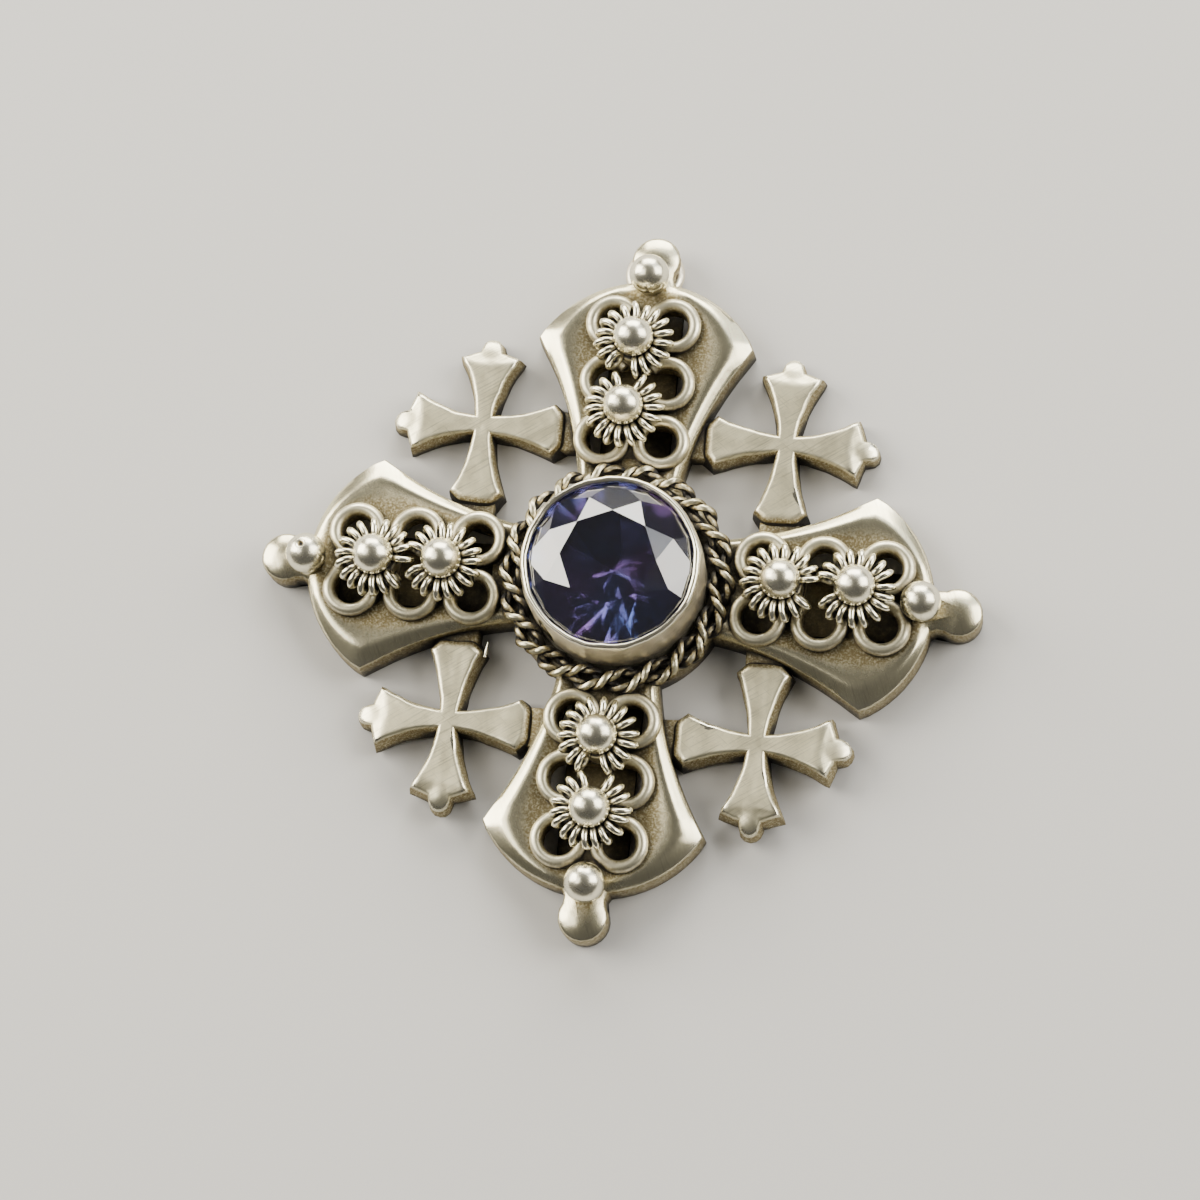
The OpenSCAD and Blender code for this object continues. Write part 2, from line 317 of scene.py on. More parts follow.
# %% Group: scratches and small dents
marks, start, end = new_group("scratches", {"Scale": 350.0, "Stretch": 50.0, "Turn": 0.0, "Dent Scale": 420.0},
                              ["Lines", "Dents", "Specks", "Clouds"])
spot = (add_node(marks, "ShaderNodeTexCoord"), "Object")
pull = add_node(marks, "ShaderNodeCombineXYZ", X=1.0, Y=(start, "Stretch"), Z=1.0)
strokes = []
for more_turn, fainter in ((0.0, 0.0), (1.3, 0.1)):
    angle = math_node(marks, "ADD", (start, "Turn"), more_turn)
    aim = add_node(marks, "ShaderNodeVectorRotate", rotation_type="Z_AXIS", Vector=spot, Angle=angle)
    drawn = add_node(marks, "ShaderNodeVectorMath", operation="MULTIPLY")
    feed(marks, aim, drawn, 0)
    feed(marks, pull, drawn, 1)
    lines = add_node(marks, "ShaderNodeTexNoise", Vector=drawn, Scale=(start, "Scale"), Detail=2.0, Roughness=0.6)
    strokes.append(math_node(marks, "SUBTRACT", (lines, "Fac"), fainter))
feed(marks, math_node(marks, "MAXIMUM", *strokes), end, "Lines")
clouds = add_node(marks, "ShaderNodeTexNoise", Vector=spot, Scale=520.0, Detail=4.0, Roughness=0.65)
feed(marks, ramp(marks, (clouds, "Fac"), 0.4, 0.68), end, "Clouds")
dents = add_node(marks, "ShaderNodeTexNoise", Vector=spot, Scale=(start, "Dent Scale"), Detail=2.0, Roughness=0.5)
feed(marks, (dents, "Fac"), end, "Dents")
specks = add_node(marks, "ShaderNodeTexNoise", Vector=spot, Scale=7500.0, Detail=4.0, Roughness=0.8)
feed(marks, ramp(marks, (specks, "Fac"), 0.35, 0.65), end, "Specks")
print("shader groups:", [group.name for group in bpy.data.node_groups])

# %% Colours of old silver
BRIGHT = (0.96, 0.91, 0.71, 1)
SATIN = (0.87, 0.805, 0.55, 1)
DULL = (0.74, 0.69, 0.49, 1)
TAN = (0.27, 0.215, 0.11, 1)
BLACK = (0.012, 0.010, 0.008, 1)


# %% One recipe for every silver
smoothest = 0.16                                            # roughness of a fully rubbed edge
dent_depth, line_depth, sand_depth = 0.0002, 0.00003, 0.00005          # in metres


def silver(name, base, polish, soil_reach=0.0012, tan=(0.15, 0.5), black=(0.5, 0.85), patchy=0.6, low=(0, 1, 0),
           scratch=(330.0, 34.0, 0.0), bump=0.015, dent=0.1, dent_scale=420.0, edges=0.6, speckle=0.5,
           painted=0.0, hairlines=0.3, patch_scale=1400.0, mottle=0.15, sandy=0.0, cloudy=0.12):
    """Silver of one colour and polish, tan and then black where it is closed in or lies low, bright on its edges.

    painted says how much a mesh's own soil_and_shade attribute adds to the tan: tarnish, and on the outer walls
    painted shade as well. Above 1 it also adds to the black."""
    material = bpy.data.materials.new(name)
    material.use_nodes = True
    tree = material.node_tree
    tree.nodes.clear()
    shader = add_node(tree, "ShaderNodeBsdfPrincipled")
    add_node(tree, "ShaderNodeOutputMaterial", Surface=shader)

    low_z, high_z, low_amount = low
    soil_and_shade = add_node(tree, "ShaderNodeGroup", node_tree=closed_in, Reach=soil_reach, Patchiness=patchy, **{
        "Patch Scale": patch_scale, "Low Z": low_z * MM, "High Z": high_z * MM, "Low Amount": low_amount})
    soil_and_shade = (soil_and_shade, "Mask")
    own_soil_and_shade = (add_node(tree, "ShaderNodeAttribute", attribute_type="GEOMETRY", attribute_name="soil_and_shade"), "Fac")
    bare = math_node(tree, "SUBTRACT", 1.0, own_soil_and_shade, clamp=True)
    bare = math_node(tree, "MULTIPLY", bare, edges)
    edge = (add_node(tree, "ShaderNodeGroup", node_tree=rubbed, Amount=bare), "Mask")
    scale, stretch, turn = scratch
    mark = add_node(tree, "ShaderNodeGroup", node_tree=marks, Scale=scale, Stretch=stretch, Turn=turn,
                    **{"Dent Scale": dent_scale})

    tan_at = ramp(tree, weighted_sum(tree, soil_and_shade, (own_soil_and_shade, painted)), *tan)
    # attribute values above 1 also add black: on the outer walls partly painted shade, elsewhere tarnish
    deep_soil_and_shade = math_node(tree, "SUBTRACT", own_soil_and_shade, 1.0)
    deep_soil_and_shade = math_node(tree, "MAXIMUM", deep_soil_and_shade, 0.0)
    black_at = ramp(tree, math_node(tree, "ADD", soil_and_shade, deep_soil_and_shade), *black)
    dots = math_node(tree, "SUBTRACT", (mark, "Specks"), 0.5)
    dots = math_node(tree, "MULTIPLY", dots, speckle)
    dots = math_node(tree, "MULTIPLY", dots, tan_at)
    tan_amount = math_node(tree, "SUBTRACT", tan_at, dots, clamp=True)

    hair = ramp(tree, (mark, "Lines"), 0.5, 0.68)
    hair = weighted_sum(tree, 0.0, (hair, hairlines), ((mark, "Specks"), mottle), ((mark, "Clouds"), cloudy))
    colour = mixed(tree, hair, base, (base[0] * 0.5, base[1] * 0.5, base[2] * 0.5, 1))
    colour = mixed(tree, tan_amount, colour, TAN)
    colour = mixed(tree, edge, colour, BRIGHT)
    feed(tree, mixed(tree, black_at, colour, BLACK), shader, "Base Color")

    grain = ramp(tree, (mark, "Lines"), 0.3, 0.75)
    rough = weighted_sum(tree, polish, (grain, 0.03), (edge, -max(0, polish - smoothest)), (tan_at, 0.2))
    feed(tree, rough, shader, "Roughness")
    metal = math_node(tree, "MULTIPLY", black_at, 0.75)
    feed(tree, math_node(tree, "SUBTRACT", 1.0, metal), shader, "Metallic")

    normal = add_node(tree, "ShaderNodeBump", Strength=dent, Distance=dent_depth, Height=(mark, "Dents"))
    normal = add_node(tree, "ShaderNodeBump", Strength=bump, Distance=line_depth, Height=(mark, "Lines"),
                      Normal=normal)
    shape = add_node(tree, "ShaderNodeNewGeometry")
    facing = add_node(tree, "ShaderNodeSeparateXYZ", Vector=(shape, "True Normal"))
    wall = math_node(tree, "MULTIPLY", ramp(tree, (facing, "Z"), 0.75, 0.35), sandy)
    normal = add_node(tree, "ShaderNodeBump", Strength=wall, Distance=sand_depth, Height=(mark, "Specks"),
                      Normal=normal)
    feed(tree, normal, shader, "Normal")
    return material


# %% The silvers of this pendant
# low gives the heights in mm over which a silver turns darker downwards, and how much darker
plate_silver = silver("plate_silver", SATIN, polish=0.23, soil_reach=0.0026, tan=(0.1, 0.7), black=(0.5, 0.88),
                      scratch=(380.0, 26.0, 1.2), bump=0.0, patchy=0.5, patch_scale=2600.0, dent=0.06,
                      dent_scale=900.0, speckle=1.6, edges=0.6, painted=0.5, hairlines=0.3, mottle=0.14,
                      sandy=0.7, cloudy=0.2)
# corner_silver's low darkens the walls below 1.7 mm: partly tarnish, partly painted shade
corner_silver = silver("corner_silver", (0.92, 0.855, 0.59, 1), polish=0.38, soil_reach=0.0012, tan=(0.2, 0.6),
                       black=(0.55, 1.0), patchy=0.3, patch_scale=2000.0, low=(1.15, 1.7, 0.3),
                       scratch=(400.0, 26.0, -0.6), bump=0.01, dent=0.05, dent_scale=900.0, speckle=1.7,
                       edges=1.0, painted=0.6, hairlines=0.5, mottle=0.14, sandy=0.8, cloudy=0.4)
wire_silver = silver("wire_silver", DULL, polish=0.4, soil_reach=0.0009, tan=(0.14, 0.52), black=(0.48, 0.8),
                     low=(2.4, 3.25, 0.65), edges=0.5, scratch=(2600.0, 1.0, 0.0), dent=0.05,
                     dent_scale=2200.0, patchy=0.9, patch_scale=1800.0, speckle=1.0, hairlines=0.25)
petal_silver = silver("petal_silver", BRIGHT, polish=0.24, soil_reach=0.0006, tan=(0.25, 0.6), black=(0.5, 0.8),
                      low=(3.7, 4.4, 0.45), scratch=(900.0, 2.0, 0.0), hairlines=0.1)
ball_silver = silver("ball_silver", BRIGHT, polish=0.25, soil_reach=0.0008, tan=(0.25, 0.6), black=(0.6, 0.9),
                     dent=0.12, dent_scale=1500.0, scratch=(1500.0, 3.0, 0.4), edges=0.0, patchy=0.25,
                     painted=0.5, hairlines=0.3)
cup_silver = silver("cup_silver", (0.96, 0.875, 0.72, 1), polish=0.44, soil_reach=0.0012, tan=(0.4, 1.0),
                    black=(0.85, 1.15), low=(2.4, 4.2, 0.25), scratch=(600.0, 1.0, 0.0), dent=0.03,
                    dent_scale=600.0, speckle=1.0, edges=1.0)
rope_silver = silver("rope_silver", DULL, polish=0.32, soil_reach=0.0009, tan=(0.08, 0.34), black=(0.3, 0.56),
                     low=(2.5, 3.4, 0.6), edges=0.0, scratch=(2500.0, 1.0, 0.0), speckle=1.2, patchy=0.9)
inner_silver = silver("inner_silver", SATIN, polish=0.5, soil_reach=0.003, tan=(0.0, 0.3), black=(0.35, 0.95),
                      edges=0.0, patchy=0.6)
print("materials:", len(bpy.data.materials))

# %% [markdown]
# ## The cross plate
#
# The main cross is one casting: four blades that flare to sharp corners, each with a curved end and a
# round lobe, joined by a disc under the stone. It is hollow behind, with walls about 0.8 mm thick.
#
# It could be cut from a block with booleans, but its soft cast edges come more easily from rings. One
# outline is drawn with arcs, filled and extruded upwards a little at a time. At each step the outline
# is drawn in by another amount, so that the wall, the rounded crest and the sunk field follow each
# other round the whole cross.

# %% Sizes of the cross plate
root_w, root_s = 3.1, 6.5
corner_w, corner_s = 6.56, 14.8
side_sag = 0.5
end_r = 7.5
lobe_r = 1.45
hub_r = 6.6
cross_t = 2.4
crest_z = 2.395
field_z = 2.2
pocket_z = 1.38
lobe_edge_z, lobe_top_z = 1.96, 2.34
wall_top_z = 1.84
wall_t = 0.8
lobe_s = reach - lobe_r
end_s = corner_s - math.sqrt(end_r ** 2 - corner_w ** 2)
arm_end = end_s + end_r


# %% Arcs
def arc(centre, radius, start, end, count):
    """count points along an arc between two angles in radians, without its first point."""
    angles = [start + (end - start) * k / count for k in range(1, count + 1)]
    return [Vector((centre[0] + radius * math.cos(a), centre[1] + radius * math.sin(a))) for a in angles]


def bow(a, b, sag):
    """Middle and radius of the circle through a and b that stands sag off the line between them."""
    a, b = Vector(a), Vector(b)
    half = (b - a).length / 2
    radius = (half * half + sag * sag) / (2 * sag)
    along = (b - a).normalized()
    return (a + b) / 2 + Vector((along.y, -along.x)) * (radius - sag), radius


def circles_meet(c0, r0, c1, r1):
    """The point where two circles cross, on the right of the line from c0 to c1."""
    line = c1 - c0
    far = line.length
    along = (r0 * r0 - r1 * r1 + far * far) / (2 * far)
    across = math.sqrt(max(r0 * r0 - along * along, 0))
    return c0 + line.normalized() * along + Vector((line.y, -line.x)).normalized() * across


def angle_at(point, centre):
    """Angle in radians of a point seen from a centre."""
    return math.atan2(point[1] - centre[1], point[0] - centre[0])


# %% Outline of the cross plate
side_c, side_r = bow((root_w, root_s), (corner_w, corner_s), side_sag)


def mirrored_arm(half):
    """A whole arm from its right half, which runs from the tip to the root."""
    left = [Vector((-p.x, p.y)) for p in reversed(half[1:])]
    return left + half


def turned(points, degrees):
    """Points turned clockwise about the middle."""
    a = math.radians(-degrees)
    return [Vector((p.x * math.cos(a) - p.y * math.sin(a), p.x * math.sin(a) + p.y * math.cos(a))) for p in points]


def spiral(centre, radius_0, radius_1, start, end, count, ease):
    """Like arc, but the radius changes on the way, sooner or later as ease says."""
    points = []
    for k in range(1, count + 1):
        t = k / count
        a = start + (end - start) * t
        points.append(centre + Vector((math.cos(a), math.sin(a))) * (radius_0 + (radius_1 - radius_0) * t ** ease))
    return points


def cross_outline(corner_in, root_in, foot_in, lobe_in=None):
    """The outline drawn in at the corners, at the roots and at the lobes' feet, with or without the lobes."""
    origin = Vector((0, 0))
    end_c = Vector((0, end_s))
    corner = circles_meet(side_c, side_r + corner_in, end_c, end_r - corner_in)
    root = circles_meet(side_c, side_r + root_in, origin, hub_r - root_in)
    lobe = lobe_r - (lobe_in or 0)
    foot_x = lobe - 0.06 if lobe_in is not None else lobe_r
    foot = Vector((foot_x, end_s + math.sqrt((end_r - foot_in) ** 2 - foot_x ** 2)))
    foot_a = angle_at(foot, end_c)
    if lobe_in is None:
        half = [Vector((0, end_s + end_r - foot_in))] + arc(end_c, end_r - foot_in, math.pi / 2, foot_a, 10)
    else:
        half = [Vector((0, lobe_s + lobe))] + arc((0, lobe_s), lobe, math.pi / 2, -0.55, 8)
        half += [half[-1].lerp(foot, 0.55) + Vector((-0.12, 0)) * (lobe / lobe_r), foot]
    half += spiral(end_c, end_r - foot_in, end_r - corner_in, foot_a, angle_at(corner, end_c), 10, 1.8)
    at_corner = len(half) - 1
    side_start = angle_at(corner, side_c) % (2 * math.pi)
    side_end = angle_at(root, side_c) % (2 * math.pi)
    half += spiral(side_c, side_r + corner_in, side_r + root_in, side_start, side_end, 12, 0.42)
    half[at_corner] = half[at_corner] * 0.86 + (half[at_corner - 1] + half[at_corner + 1]) * 0.07
    half += arc(origin, hub_r - root_in, angle_at(root, origin), math.pi / 4, 4)
    arm = mirrored_arm(half)
    outline = []
    for quarter in range(4):
        outline += turned(arm[:-1], 90 * quarter)
    return outline


print("points in the outline:", len(cross_outline(0, 0, 0, 0)))


# %% Extrude an outline ring by ring
def ring_key(point):
    """A name for a place, fine enough to tell the points of an outline apart."""
    return tuple(round(value, 4) for value in point)


def build_up(name, rings):
    """Fills the first ring, and extrudes the face to each of the next ones. A ring is a list of 3D points."""
    piece = added(name, bpy.ops.mesh.primitive_circle_add, vertices=len(rings[0]), radius=1, fill_type="NOTHING")
    move_points(piece, rings[0])
    with editing(piece):
        bpy.ops.mesh.edge_face_add()
    for before, after in zip(rings, rings[1:]):
        with editing(piece, select=None):
            bpy.ops.mesh.extrude_region_move()
        place_of = {ring_key(point): target for point, target in zip(before, after)}
        for vertex in piece.data.vertices:
            if vertex.select:
                vertex.co = place_of[ring_key(vertex.co)]
    return piece


def lifted(points, z):
    """Flat points set at a height."""
    return [Vector((p.x, p.y, z)) for p in points]


# %% Spin a section
def spun(name, section, steps):
    """A section of (radius, height) points, closed and spun a whole turn about Z."""
    made = added(name, bpy.ops.mesh.primitive_circle_add, vertices=len(section), radius=1, fill_type="NOTHING")
    move_points(made, [(radius, 0, z) for radius, z in section])
    with editing(made):
        bpy.ops.mesh.spin(steps=steps, angle=2 * math.pi, center=(0, 0, 0), axis=(0, 0, 1))
        bpy.ops.mesh.select_all(action="SELECT")
        bpy.ops.mesh.remove_doubles(threshold=0.001)
    return made


# %% Build the plate, from its pocket outwards and up
plate_steps = [
    # drawn in at the corner, root, foot and lobe, then the height, and the soil_and_shade on it: tarnish, with
    # painted shade on the outer walls
    (wall_t, wall_t, wall_t, None, pocket_z, 1.3),
    (wall_t, wall_t, wall_t, None, 0.02, 1.3),
    (0.04, 0.04, 0.04, 0.04, 0.0, 1.3),
    (-0.05, -0.04, -0.05, 0.0, 0.08, 1.3),
    (0.0, 0.0, 0.0, 0.0, wall_top_z, 1.25),
    (0.04, 0.03, 0.05, 0.06, 1.96, 0.7),
    (0.1, 0.07, 0.09, 0.12, 2.04, 0.2),
    (0.38, 0.14, 0.18, 0.24, 2.13, 0.05),
    (0.7, 0.21, 0.27, 0.38, 2.235, 0.0),
    (0.95, 0.28, 0.36, 0.52, 2.32, 0.0),
    (1.12, 0.34, 0.44, 0.62, 2.365, 0.0),
    (1.3, 0.41, 0.53, 0.76, 2.39, 0.0),
    (1.52, 0.5, 0.65, 0.95, crest_z, 0.15),
    (1.9, 0.62, 0.87, 1.2, 2.37, 0.45),
    (2.4, 0.8, 1.22, None, 2.31, 0.8),
    (2.9, 0.97, 1.57, None, 2.245, 1.0),
    (3.4, 1.15, 1.9, None, field_z, 1.0),
]
corner_drop = 0.4
corner_reach = 4.5
lobe_from, lobe_fade = 16.8, 0.7                # where a lobe starts along the arm, and over what length
lobe_side, side_fade = 1.9, 0.5                 # and the same across it
top_lean, right_droop = 0.3, 0.4                # how far these two arms are bent sideways
bend_from, bend_over = 7, 14


def bent(point):
    """The top arm leans a little to the right and the right arm droops, as on the real piece."""
    lean = top_lean * max(0, point.y - bend_from) / bend_over
    droop = right_droop * max(0, point.x - bend_from) / bend_over
    return Vector((point.x + lean, point.y - droop, point.z))


def plate_ring(step):
    """One ring of the plate. The lobes have no crest and no dish: each is a low dome."""
    *drawn, z, _ = step
    ring = []
    for point in cross_outline(*drawn):
        along, across = max(abs(point.x), abs(point.y)), min(abs(point.x), abs(point.y))
        on_lobe = min(1, max(0, (along - lobe_from) / lobe_fade)) * min(1, max(0, (lobe_side - across) / side_fade))
        high = z
        if wall_top_z <= z < crest_z:
            near = max(0, 1 - math.hypot(along - corner_s, across - corner_w) / corner_reach)
            high = crest_z - (crest_z - z) * (1 + corner_drop * near)
        if z > lobe_edge_z and step[3]:
            dome = lobe_top_z - (lobe_top_z - lobe_edge_z) * (1 - step[3] / lobe_r) ** 2
            high += (dome - high) * on_lobe
        ring.append(bent(Vector((point.x, point.y, high))))
    return ring


plate_rings = [plate_ring(step) for step in plate_steps]
cross_plate = build_up("cross_plate", plate_rings)

# %% [markdown]
# The windows inside the wire loops, the light hole behind the stone and the room for the bail ring go
# through walls, and all of them are cut at once, with one boolean.

# %% Cut the windows, the light hole and the notch for the ring
loop_s, loop_pitch, loop_row, loop_r, loop_wire = 12.1, 3.62, 1.75, 1.74, 0.78
loop_places = [loop_s + k * loop_pitch for k in (-1, 0, 1)]
window_r = 1.03
light_r = 3.0
ring_x = 0.15


def slot_outline(s, half_length, radius):
    """A slot with round ends across an arm."""
    return arc((half_length, s), radius, -math.pi / 2, math.pi / 2, 12) + arc(
        (-half_length, s), radius, math.pi / 2, 1.5 * math.pi, 12)


cutters = []
for quarter in range(4):
    for s in loop_places:
        outline = turned(slot_outline(s, loop_row, window_r), 90 * quarter)
        cutters.append(build_up("cutter", [lifted(outline, 0.6), lifted(outline, 3)]))
cutters.append(added("cutter", bpy.ops.mesh.primitive_cylinder_add, vertices=64, radius=light_r, depth=6))
notch = added("cutter", bpy.ops.mesh.primitive_cube_add, size=1)
settle(notch, Matrix.Translation((ring_x, arm_end + 1.6, 0.15)) @ Matrix.Diagonal((4.2, 6.0, 2.4, 1)))
cutter = joined(cutters + [notch], "cutter")
turn_outwards(cutter)
turn_outwards(cross_plate)
add_modifier(cross_plate, "BOOLEAN", operation="DIFFERENCE", solver="EXACT", object=cutter)
bpy.data.objects.remove(cutter)

# %% [markdown]
# Where a cloth doesn't reach, the plate has gone tan: in the dished field and down the walls of the hollow behind,
# but not on the crest. The outer walls are painted darker still, partly tarnish and partly painted shade. Each ring
# of the plate carries its amount, and every vertex takes the amount of the ring point next to it. The material
# reads it as an attribute.

# %% Paint the soil
def paint_soil_and_shade(piece, known, otherwise):
    """Every vertex takes the soil_and_shade value of the known point that it lies on, and where there is none,
    another.
    """
    tree = kdtree.KDTree(len(known))
    for index, (point, _) in enumerate(known):
        tree.insert(point, index)
    tree.balance()
    paint = piece.data.attributes.new("soil_and_shade", "FLOAT", "POINT")
    for vertex in piece.data.vertices:
        _, index, away = tree.find(vertex.co)
        paint.data[vertex.index].value = known[index][1] if away < 0.02 else otherwise


known = []
for ring, step in zip(plate_rings, plate_steps):
    for point in ring:
        on_lobe = max(abs(point.x), abs(point.y)) > arm_end + 0.3 and point.z > 2
        known.append((point, min(step[-1], 0.25) if on_lobe else step[-1]))
paint_soil_and_shade(cross_plate, known, 1.0)
finish_piece(cross_plate, plate_silver, smooth=32)
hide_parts("silver_cross")

# %% [markdown]
# ## Strips behind the wirework
#
# Through the windows one sees a flat strip at the back of each hollow arm, black with age. Each is a
# plain bar with eased edges, and a short collar ties them together round the light hole.

# %% Back strips
strip_w, strip_t = 4.2, 0.45


def bar(name, low, high, ease=0.08):
    """A bar between two corners, with its edges bevelled."""
    low, high = Vector(low), Vector(high)
    made = added(name, bpy.ops.mesh.primitive_cube_add, size=1)
    settle(made, Matrix.Translation((low + high) / 2) @ Matrix.Diagonal((*(high - low), 1)))
    with editing(made):
        bpy.ops.mesh.bevel(offset=ease, segments=2, affect="EDGES")
    return made


strips = []
for quarter in range(4):
    outer = arm_end - (1.5 if quarter == 0 else 0.5)
    strip = bar("strip", (-strip_w / 2, hub_r - 0.7, 0.01), (strip_w / 2, outer, strip_t))
    place(strip, turn=-90 * quarter)
    strips.append(strip)
collar = added("collar", bpy.ops.mesh.primitive_cylinder_add, vertices=72, radius=hub_r - 0.02, depth=pocket_z,
               location=(0, 0, pocket_z / 2 + 0.01))
pick_faces(collar, lambda face: abs(face.normal.z) > 0.9)
with editing(collar, select=None):
    bpy.ops.mesh.inset(thickness=wall_t)
    bpy.ops.mesh.bridge_edge_loops()
back_strips = joined(strips + [collar], "back_strips")
finish_piece(back_strips, inner_silver)

# %% [markdown]
# ## The corner crosses
#
# Each corner holds a small cross with concave arms. The two outer arms end in a bead between sloped
# shoulders, and the two inner arms are clipped and soldered to the big cross by a tab. Their sides are
# drafted, wider at the back, as a casting needs, and the same ring method draws them.
#
# The top could be one flat face, but a face filed by hand is never quite flat. It is woven as a net of
# small faces instead, one for each arm and one for the middle, which meets the last ring all round.

# %% Sizes of a corner cross
small_c = 9.15
small_t = 1.75
small_waist, small_w, small_s = 0.76, 2.05, 4.3
small_sag = 0.2
bead_s, bead_r, bead_rise = 4.86, 0.72, 0.14
shoulder_s = 4.7
inner_w, inner_s, inner_end, tab_w, tab_t = 1.75, 4.3, 5.15, 1.2, 1.35
face_inset = 0.36
end_share = 0.6
crest_s, crest_back, tip_slope = 4.0, 0.35, 0.36
columns = [0.0, 0.1, 0.2, 0.3, 0.38, 0.52, 0.68, 0.84, 1.0]        # shares of half an arm's width
all_columns = [-u for u in reversed(columns[1:])] + columns
side_rows = 12
end_rows = 6


# %% Outline of a corner cross
def hollow_side(w, s, sag, inset):
    """Points down an arm's hollow side, drawn in, from its outer corner to the inner notch."""
    centre, radius = bow((small_waist, 0.9), (w, s), sag)
    radius += inset
    corner_s = s - inset * end_share
    corner = Vector((centre.x - math.sqrt(radius ** 2 - (corner_s - centre.y) ** 2), corner_s))
    notch_x = (centre.x + centre.y) / 2 - math.sqrt(radius ** 2 / 2 - (centre.x - centre.y) ** 2 / 4)
    start = angle_at(corner, centre) % (2 * math.pi)
    stop = angle_at((notch_x, notch_x), centre) % (2 * math.pi)
    return [corner] + arc(centre, radius, start, stop, side_rows)


def outer_half(inset):
    """Right half of an outer arm: half a bead, a shoulder, and the side."""
    side = hollow_side(small_w, small_s, small_sag, inset)
    bead = bead_r - inset * end_share
    end = [Vector((0, bead_s + bead))] + arc((0, bead_s), bead, math.pi / 2, 0.1, 3)
    foot = Vector((bead + 0.06, shoulder_s - inset * end_share))
    side[0] = side[0] * 0.9 + (side[1] + foot) * 0.05
    return end + [foot.lerp(side[0], k / 4) for k in range(4)] + side


def inner_half(inset):
    """Right half of an inner arm, whose end slopes out to the tab and is clipped at both corners."""
    side = hollow_side(inner_w, inner_s, small_sag * 0.8, inset)
    side[-1] = outer_half(inset)[-1]
    end = inner_end - inset * 2
    clip = Vector((tab_w - inset, end - 0.08))
    return [Vector((clip.x * k / 4, end)) for k in range(4)] + [clip.lerp(side[0], k / 4) for k in range(4)] + side


arm_halves = [outer_half, outer_half, inner_half, inner_half]


def small_outline(inset):
    """The outline of a corner cross whose outer arms point along +Y and +X."""
    outline = []
    for quarter, half in enumerate(arm_halves):
        outline += turned(mirrored_arm(half(inset))[:-1], 90 * quarter)
    return outline


# %% Height of its top
def tip_fall(point):
    """How far the top lies below the flat face: the outer tips slope down, and a bead stands on each."""
    along, across = max(point.x, point.y), min(point.x, point.y)
    past = along - crest_s + crest_back * max(0, 1 - (across / small_w) ** 2)
    fall = tip_slope * (math.sqrt(past ** 2 + 0.1 ** 2) - 0.1) if past > 0 else 0
    return fall - bead_rise * max(0, 1 - ((along - bead_s) ** 2 + across ** 2) / bead_r ** 2)


def topped(points, drop):
    """Flat points set a little below the top."""
    return [Vector((p.x, p.y, small_t - drop - tip_fall(p))) for p in points]


# %% Weave the top
def net(rows):
    """A grid of quads with a point of rows at each corner."""
    made = added("net", bpy.ops.mesh.primitive_grid_add, x_subdivisions=len(rows[0]) - 1,
                 y_subdivisions=len(rows) - 1, size=1)
    move_points(made, [point for row in rows for point in row])
    return made


def arm_rows(half, back):
    """Rows across an arm, from its end to the middle. back bends the rows near the end inwards."""
    ends, side = half[:len(columns)], half[len(columns) - 1:]
    end = [Vector((-p.x, p.y)) for p in reversed(ends[1:])] + ends
    rows = []
    for corner in side:
        bend = back * max(0, 1 - (side[0].y - corner.y) / 1.6)
        rows.append([Vector((u * corner.x, corner.y - bend * (1 - u * u))) for u in all_columns])
    return [[a.lerp(b, k / end_rows) for a, b in zip(end, rows[0])] for k in range(end_rows)] + rows


# %% Build one corner cross
tab_low, tab_high = -inner_end - 0.7, -inner_end + 0.5
solder_soil, solder_s, tab_soil = 0.8, 3.9, 1.25        # soil added near the solder, from where, and on the tabs
small_steps = [
    # drawn in, the height below the top, and the soil_and_shade: tarnish, with painted shade down the walls
    (0.1, 0.45, 1.2),
    (0.14, 0.26, 1.0),
    (0.19, 0.14, 0.5),
    (0.25, 0.06, 0.1),
    (0.31, 0.02, 0.0),
    (face_inset, 0.0, 0.0),
]
small_rings = [lifted(small_outline(0.03), 0.0), lifted(small_outline(0.0), 0.08)]
small_rings += [topped(small_outline(inset), drop) for inset, drop, _ in small_steps]
# the two lowest rings are the foot of the walls: partly tarnish, partly painted shade
small_soil_and_shade = [1.3, 1.3] + [soil_and_shade for _, _, soil_and_shade in small_steps]
small_cross = build_up("small_cross", small_rings)
pick_faces(small_cross, lambda face: len(face.vertices) > 4 and face.center.z > 1)
with editing(small_cross, select=None):
    bpy.ops.mesh.delete(type="ONLY_FACE")

parts = [small_cross]
for quarter, half in enumerate(arm_halves):
    rows = arm_rows(half(face_inset), crest_back if half is outer_half else 0)
    parts.append(net([topped(turned(row, 90 * quarter), 0) for row in rows]))
notch = small_outline(face_inset)[0].y
parts.append(net([topped([Vector((u * notch, v * notch)) for u in all_columns], 0) for v in all_columns]))
small_cross = joined(parts, "small_cross")
with editing(small_cross):
    bpy.ops.mesh.remove_doubles(threshold=0.002)
uses = Counter(key for face in small_cross.data.polygons for key in face.edge_keys)
open_edges = sum(count == 1 for count in uses.values())
print("points round a corner cross:", len(small_rings[0]), "open edges:", open_edges)
small_cross = joined([
    small_cross,
    bar("tab", (tab_low, -tab_w, 0.01), (tab_high, tab_w, tab_t), 0.15),
    bar("tab", (-tab_w, tab_low, 0.01), (tab_w, tab_high, tab_t), 0.15),
], "small_cross")
known = []
for ring, soil_and_shade in zip(small_rings, small_soil_and_shade):
    known += [(point, soil_and_shade + solder_soil * min(1, max(0, -min(point.x, point.y) - solder_s))) for point in ring]
paint_soil_and_shade(small_cross, known, 0.0)
paint = small_cross.data.attributes["soil_and_shade"].data
